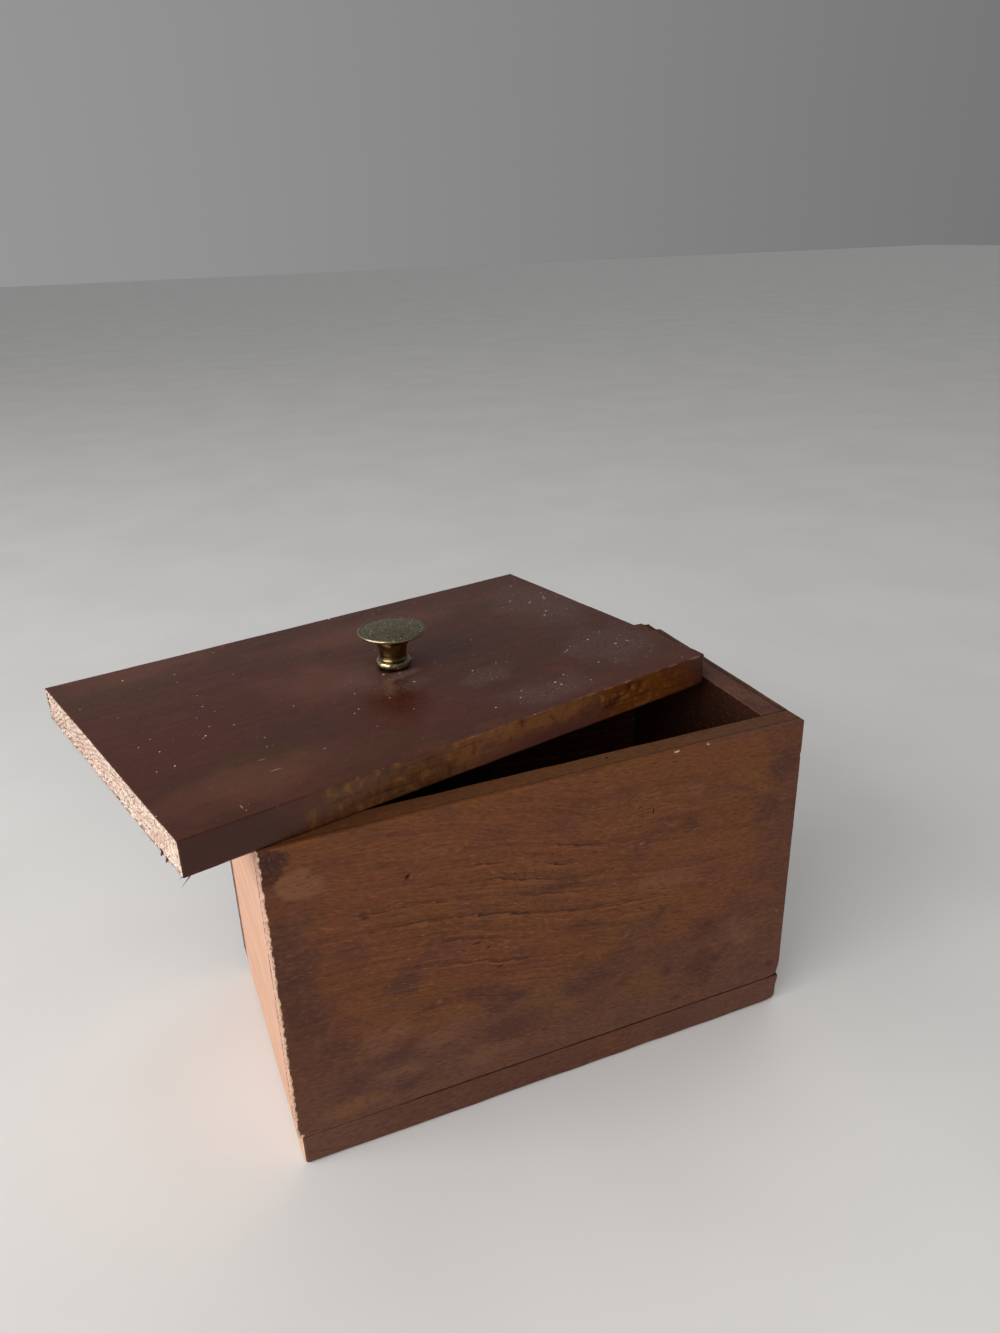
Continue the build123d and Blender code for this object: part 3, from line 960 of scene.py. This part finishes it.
# Blots on its front edge, with the height from the top in the place of v
LID_EDGE_BLOTS = {
    "edge_left": (4, 1, 89, [(-70, -5, 26, 12), (77, -5, 4, 12)]),
    "edge_tan": (4, 1, 91, [(-28, -5, 26, 12), (18, -3, 40, 3)]),
    "edge_pale": (3, 1, 92, [(-2, -4, 12, 7), (20, -2.5, 12, 4)]),
    "edge_orange": (3, 1, 93, [(52, -5.5, 19, 6)]),
    "edge_purple": (1.6, 1, 95, [
        (16, -8.0, 22, 3.0), (-2, -4.5, 3.5, 1.2), (-13, -8.6, 2.0, 1.2), (34, -5.5, 3, 2),
    ]),
}
LID_WORN_BLOTS = {"worn": (4, 1, 97, [(-9, 0, 6, 3), (47, 0, 22, 3), (76, 0, 5, 3), (18, 0, 4, 2)])}
EDGE_STEP_AT = -76.8
SCREW_PIT = ((0.0, 2.2, 4.3), (2.4, 2.4, 0.0))
SAW_RIDGE_SPACING, SAW_RIDGE_SLANT, SAW_RIDGE_CURVE, SAW_RIDGE_TIP = 1.5, 0.43, 0.004, 20
LID_CORNER_WEAR = 0.5
LID_CLEARANCE = 0.03
FIBRE_CLEARANCE = 0.23
CRUMBS_AT = (-39.8, -43.3)


def on_lid(points, low, high):
    """Carries places on the rectangular grid onto the lid's four true corners."""
    x, y, z = points.T
    from_front, from_right = (y - low[Y]) / (high[Y] - low[Y]), (high[X] - x) / (high[X] - low[X])
    length = LID_FRONT_LENGTH + (LID_BACK_LENGTH - LID_FRONT_LENGTH) * from_front
    width = LID_RIGHT_WIDTH + (LID_LEFT_WIDTH - LID_RIGHT_WIDTH) * from_right
    return np.stack([LID_RIGHT - from_right * length, LID_FRONT + from_front * width, z], -1)


def mark_lid(block):
    """The bands, dust and edge colours that the lid carries, the painted reflection of the knob on its top
    and painted shade on its underside.
    """
    block.marks["top"] = block.on(TOP)
    block.paint(LID_TOP_BLOTS, Y, block.on(TOP))
    block.paint(LID_EDGE_BLOTS, Z, block.on(FRONT))
    block.paint(LID_WORN_BLOTS, Z, smooth(1.4 - block.from_side(FRONT) / 0.8))
    # painted shade on the lid's underside
    block.marks["inner"] = block.on(UNDER) * smooth(block.edge / 0.6)


def saw_end(block, raw_end, lowest):
    """The saw's curved ridges, with painted shade in their grooves, torn fibres and ragged lower edge on the
    lid's raw end.
    """
    y, z = block.y, block.z
    curve = SAW_RIDGE_SLANT * y + SAW_RIDGE_CURVE * (y - SAW_RIDGE_TIP) ** 2 + 0.5 * block.noise(6, 48)
    saw = np.sin((z + curve) * 2 * math.pi / SAW_RIDGE_SPACING)
    strong = 0.35 + 0.65 * smooth((y + 25) / 40)
    low_edge = smooth(1 - block.from_side(UNDER) / 2.5)
    torn = block.noise((0.9, 0.9, 0.8), 49) + 0.5 * block.noise((1.9, 1.9, 1.5), 50)
    block.sink(raw_end * (0.32 + 0.15 * strong * saw + (0.16 + 0.2 * low_edge) * torn))
    # painted shade where the saw's grooves are sunk deepest
    block.marks["groove"] = raw_end * strong * smooth(1.6 * saw - 0.6) * smooth(0.6 + block.noise(3, 51))
    ragged = block.points[:, Z] + 0.3 * raw_end * low_edge * block.noise((1.2, 1.2, 3), 58)
    block.points[:, Z] = np.maximum(ragged, lowest)


def fray_end(block, under):
    """Fibres all over the lid's raw end, and two crumbs and a hair that hang from its lower edge."""
    front = np.array((LID_RIGHT - LID_FRONT_LENGTH + 0.25, LID_FRONT + 0.4, under + 0.2))
    back = np.array((LID_RIGHT - LID_BACK_LENGTH + 0.25, LID_FRONT + LID_LEFT_WIDTH - 0.4, under + 0.2))
    lowest = under + FIBRE_CLEARANCE
    along_edge = edge_places(back, front, 110, (0.1, 0, 0.15), 52)
    fray(block, along_edge, (-1, 0, -0.5), (0.4, 0.9, 0.4), (0.4, 1.1), 0.4, 53, lowest)
    all_over = edge_places(back + (0, 0, 2.0), front + (0, 0, 7.0), 120, (0.05, 1, 3.0), 54)
    fray(block, all_over, (-1, 0, 0.1), (0.2, 0.8, 0.8), (0.35, 0.8), 0.4, 55, lowest)
    for v in CRUMBS_AT:
        crumb = np.array((-85.9, v, under + 0.1))
        block.splinter([crumb + (0.5, 0, 0.6), crumb + (0, 0.2, -0.2), crumb + (-0.2, 0.3, -0.5)], 1.3, 0)
    root = np.array((-83.6, LID_FRONT + 0.2, under + 0.1))
    hair = [root, root + (-0.9, -0.3, -0.5), root + (-1.8, -0.5, -1.2), root + (-2.7, -0.6, -2.2)]
    block.splinter(hair, 0.32, 0)


def make_lid(finishes):
    low = np.array((LID_RIGHT - LID_FRONT_LENGTH, LID_FRONT, -LID_THICKNESS))
    high = np.array((LID_RIGHT, LID_FRONT + LID_RIGHT_WIDTH, 0.0))
    around_screw = [(0.0, 3.6, 0.3)]
    block = Block(low, high, (2.6, 0.52, 0.4), (around_screw, around_screw, []))
    raw_end = block.on(LEFT)
    wear = 0.42 + 0.2 * block.noise(9, 24)
    wear += 0.35 * block.on(FRONT) * smooth((-4 - block.z) / 4) * smooth((block.x - EDGE_STEP_AT) / 0.6)
    wear += LID_CORNER_WEAR * smooth(1 - np.hypot(block.from_side(RIGHT), block.from_side(FRONT)) / 5)
    block.round_edges(np.clip(wear - 0.35 * raw_end, 0.12, 1.6))
    plane_boards(block, 47, 0.08)
    mark_lid(block)
    saw_end(block, raw_end, low[Z] + LID_CLEARANCE)
    block.pit(UNDER, (0.0, 0.0), *SCREW_PIT)
    block.points = on_lid(block.points, low, high)
    fray_end(block, low[Z])
    block.carry(lid_origin, LID_TURN_DEGREES)
    piece = block.build("lid_board_wood", finishes, RAW_LEFT_END)
    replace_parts(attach(piece, "lid"), "lid_board")


# Knob

KNOB_SEGMENTS = 200
KNOB_KINDS = ("foot", "bead", "rim", "groove", "top")
KNOB_FOOT_RADIUS, KNOB_FOOT_HEIGHT = 4.4, 0.7
KNOB_BEAD_RADIUS, KNOB_BEAD_HEIGHT = 5.35, 2.3
KNOB_NECK_RADIUS, KNOB_NECK_LEVEL = 4.05, 4.7
KNOB_FLARE_RISE, KNOB_FLARE_REACH, KNOB_FLARE_LIFT = 2.9, 1.8, 1.2
KNOB_DOME, KNOB_RIM_THICKNESS, KNOB_RIM_ROLL, KNOB_RIM_GROOVE = 0.7, 1.0, 0.7, 0.15


def arc_through(first, middle, last, count):
    """Places along the circle through three places, worked out as complex numbers."""
    a, b, c = (complex(*place) for place in (first, middle, last))
    slant = (c - a) / (b - a)
    centre = a + (b - a) * (slant - abs(slant) ** 2) / (2j * slant.imag)
    turn = np.angle((b - centre) / (a - centre)) + np.angle((c - centre) / (b - centre))
    places = centre + (a - centre) * np.exp(1j * turn * np.linspace(0, 1, count))
    return np.stack([places.real, places.imag], -1)


def curve_through(controls, count):
    """Places along the cubic curve with four control places."""
    t = np.linspace(0, 1, count)[:, None]
    a, b, c, d = (np.array(control, float) for control in controls)
    return (1 - t) ** 3 * a + 3 * (1 - t) ** 2 * t * b + 3 * (1 - t) * t**2 * c + t**3 * d


def knob_profile(radius, height):
    """Radius and height along the knob's outline from its foot to its crown, and what each stretch is."""
    rim_top = height - KNOB_DOME
    rim_bottom = rim_top - KNOB_RIM_THICKNESS
    bead_top = KNOB_FOOT_HEIGHT + KNOB_BEAD_HEIGHT
    foot_edge = (KNOB_FOOT_RADIUS, KNOB_FOOT_HEIGHT)
    bead_middle = (KNOB_BEAD_RADIUS, KNOB_FOOT_HEIGHT + KNOB_BEAD_HEIGHT / 2)
    bead_edge = (KNOB_FOOT_RADIUS, bead_top)
    dip = ((KNOB_FOOT_RADIUS + KNOB_NECK_RADIUS) / 2 - 0.22, (bead_top + KNOB_NECK_LEVEL) / 2)
    neck = (KNOB_NECK_RADIUS, KNOB_NECK_LEVEL)
    neck_top = (KNOB_NECK_RADIUS, KNOB_NECK_LEVEL + KNOB_FLARE_RISE)
    flare = (KNOB_NECK_RADIUS + KNOB_FLARE_REACH, rim_bottom - KNOB_FLARE_LIFT)
    rim_under = (radius - KNOB_RIM_THICKNESS, rim_bottom)
    rim_middle = (radius, (rim_top + rim_bottom) / 2)
    crest = (radius - KNOB_RIM_ROLL, rim_top)
    groove = (crest[0] - KNOB_RIM_GROOVE, rim_top - KNOB_RIM_GROOVE)
    share = np.linspace(1, 0.012, 60)[1:]
    dome = np.stack([share * groove[0], height - (height - groove[1]) * share**2], -1)
    stretches = [
        ("foot", np.linspace((0.4, 0), (KNOB_FOOT_RADIUS, 0), 4)),
        ("foot", np.linspace((KNOB_FOOT_RADIUS, 0.08), foot_edge, 4)),
        ("bead", arc_through(foot_edge, bead_middle, bead_edge, 18)[1:]),
        ("neck", arc_through(bead_edge, dip, neck, 10)[1:]),
        ("neck", curve_through((neck, neck_top, flare, rim_under), 24)[1:]),
        ("rim", arc_through(rim_under, rim_middle, crest, 16)[1:]),
        ("groove", np.linspace(crest, groove, 3)[1:]),
        ("top", dome),
    ]
    names = [name for name, places in stretches for _ in places]
    return np.concatenate([places for _, places in stretches]), np.array(names)


def knob_marks(points, kinds, height):
    """Patina on the top, polish on the rim and the bead, and painted shade in the corners."""
    foot, bead, rim, groove, top = (1.0 * (kinds == kind) for kind in KNOB_KINDS)
    outward = smooth((height - KNOB_DOME - 0.2 - points[:, Z]) / 0.3)
    from_bead_top = np.abs(points[:, Z] - KNOB_FOOT_HEIGHT - KNOB_BEAD_HEIGHT)
    return {
        "patina": top + 0.7 * groove + (1 - outward) * rim,
        "polish": rim * outward + 0.5 * bead,
        # painted shade in the foot, the rim's groove and the crease over the bead
        "crease_shade": np.max([foot, 0.12 * groove, 0.6 * smooth(1 - from_bead_top / 0.25)], axis=0),
        "bead": bead,
    }


def make_knob(finish):
    low, high = node_box("knob")
    height = high[Z] - low[Z]
    profile, names = knob_profile((high[X] - low[X]) / 2, height)
    turn = np.arange(KNOB_SEGMENTS) * 2 * math.pi / KNOB_SEGMENTS
    radii, levels = profile.T[:, :, None]
    rings = np.stack([radii * np.cos(turn), radii * np.sin(turn), levels + 0 * turn], -1)
    points = rings.reshape(-1, 3)
    kinds = np.repeat(names, KNOB_SEGMENTS)
    pitted = np.minimum(0, 0.2 + noise(points, 0.45, 56)) + 0.4 * noise(points, 0.9, 57)
    points[:, Z] += 0.03 * pitted * (kinds == "top")

    number = np.arange(len(points)).reshape(len(profile), KNOB_SEGMENTS)
    after = np.roll(number, -1, axis=1)
    quads = np.stack([number[:-1], after[:-1], after[1:], number[1:]], -1).reshape(-1, 4)
    faces = [*quads.tolist(), number[0, ::-1].tolist(), number[-1].tolist()]
    base = np.array((lid_origin.x, lid_origin.y, low[Z]))
    piece = mesh_piece("knob_brass", points + base, faces, [finish])
    write_marks(piece, knob_marks(points, kinds, height))
    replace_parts(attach(piece, "knob"), "knob")


# Stage, light and camera

FLOOR_HALF = 6000.0
LAMP_TARGET_M = Vector((0, 0, 0.05))
REAR_LIGHT_FROM = Vector((0.75, 0.6, 0.26))
REAR_LIGHT_SPREAD_DEGREES = 60

# The room's level at its middle, and how it changes towards +X and +Y
ROOM_LEVEL, ROOM_TO_RIGHT, ROOM_TO_BACK = 0.23, -0.13, 0.07


def make_stage():
    corners = FLOOR_HALF * np.array([(-1, -1, 0), (1, -1, 0), (1, 1, 0), (-1, 1, 0)])
    mesh_piece("floor", corners, [(0, 1, 2, 3)], [pale_floor()])


def make_light(name, kind, energy, turn):
    lamp = bpy.data.lights.new(name, kind)
    lamp.energy = energy
    holder = linked(bpy.data.objects.new(name, lamp))
    holder.rotation_euler = turn.to_euler()
    return lamp, holder


def make_lamp(name, place_m, size_m, watts, colour):
    """A soft rectangular lamp that points at the box."""
    turn = (LAMP_TARGET_M - Vector(place_m)).to_track_quat("-Z", "Y")
    lamp, holder = make_light(name, "AREA", watts, turn)
    lamp.shape = "RECTANGLE"
    lamp.size, lamp.size_y = size_m
    lamp.color = colour
    holder.location = place_m
    return holder


def make_rear_light(strength):
    """Weak even light on the sides that the window doesn't reach."""
    lamp, holder = make_light("rear_light", "SUN", strength, REAR_LIGHT_FROM.to_track_quat("Z", "Y"))
    lamp.angle = math.radians(REAR_LIGHT_SPREAD_DEGREES)
    return holder


def make_room():
    world = bpy.data.worlds.new("room")
    bpy.context.scene.world = world
    world.use_nodes = True
    nodes, links = world.node_tree.nodes, world.node_tree.links
    slope = nodes.new("ShaderNodeVectorMath")
    slope.operation = "DOT_PRODUCT"
    links.new(nodes.new("ShaderNodeTexCoord").outputs["Generated"], slope.inputs[0])
    slope.inputs[1].default_value = (ROOM_TO_RIGHT, ROOM_TO_BACK, 0)
    level = nodes.new("ShaderNodeMath")
    links.new(slope.outputs["Value"], level.inputs[0])
    level.inputs[1].default_value = ROOM_LEVEL
    links.new(level.outputs[0], nodes["Background"].inputs["Color"])


def make_camera():
    data = bpy.data.cameras.new("camera")
    data.lens, data.sensor_width, data.sensor_fit = CAMERA_LENS, CAMERA_SENSOR, "AUTO"
    data.clip_start, data.clip_end = CAMERA_CLIP_M
    camera = linked(bpy.data.objects.new("camera", data))
    heading = Matrix.Rotation(math.radians(-CAMERA_HEADING_DEGREES), 4, "Z")
    pitch = Matrix.Rotation(math.radians(90 + CAMERA_PITCH_DEGREES), 4, "X")
    roll = Matrix.Rotation(math.radians(CAMERA_ROLL_DEGREES), 4, "Z")
    camera.matrix_world = Matrix.Translation(Vector(CAMERA_PLACE) * MM) @ heading @ pitch @ roll
    bpy.context.scene.camera = camera


def refinish(node, material):
    """Gives a CAD node's own mesh a material."""
    mesh = frame["nodes"][node].data
    mesh.materials.clear()
    mesh.materials.append(material)


# Building it all

hole_places = [((x, front_y, z), (wide, HOLE_DEPTH, high)) for x, z, wide, high in FRONT_HOLES]
speck_places = [((u, v, 0), (radius, radius, 1)) for u, v, radius in LID_SPECKS]
thread_places = [((u, v, 0), (long, wide, 1)) for u, v, long, wide in LID_THREADS]
front_end = sawn_wood("sawn_front_end", (226, 186, 164))
lid_end = sawn_wood("sawn_lid_end", (232, 214, 198))
side_wood = stained_wood("stained_side", Y, seed=30.0)
lid_finish = varnished_wood("varnished_lid", speck_places, thread_places, KNOB_FOOT_RADIUS)
make_front_panel([stained_wood("stained_front", X, [*hole_places, RIM_HOLE]), front_end])
make_back_panel([stained_wood("stained_back", X, seed=20.0)])
make_side("left_side", [side_wood, bare_wood("bare_left_side", Y)], RAW_LEFT_END, RIGHT, 51)
make_side("right_side", [side_wood], ONE_FINISH, LEFT, 53)
make_bottom([stained_wood("stained_bottom", X, seed=40.0), bare_wood("bare_bottom_end", X)])
make_lid([lid_finish, lid_end])
make_knob(aged_brass())

refinish("knob_screw", plain_steel("dull_zinc", (150, 146, 138), (120, 116, 108)))
nail_steel = plain_steel("dark_steel", (88, 78, 70), (62, 52, 46))
for nails in ("front_nails", "back_nails", "bottom_nails"):
    refinish(nails, nail_steel)

make_stage()
make_lamp("window", (-1.08, -0.28, 0.62), (1.45, 0.8), 14.8, (1.0, 0.98, 0.95))
make_lamp("fill", (-0.35, -1.1, 0.85), (1.0, 1.0), 6.4, (1.0, 0.98, 0.96)).visible_glossy = False
make_rear_light(0.9).visible_glossy = False
make_room()
make_camera()

bpy.context.scene.view_settings.view_transform = "Standard"
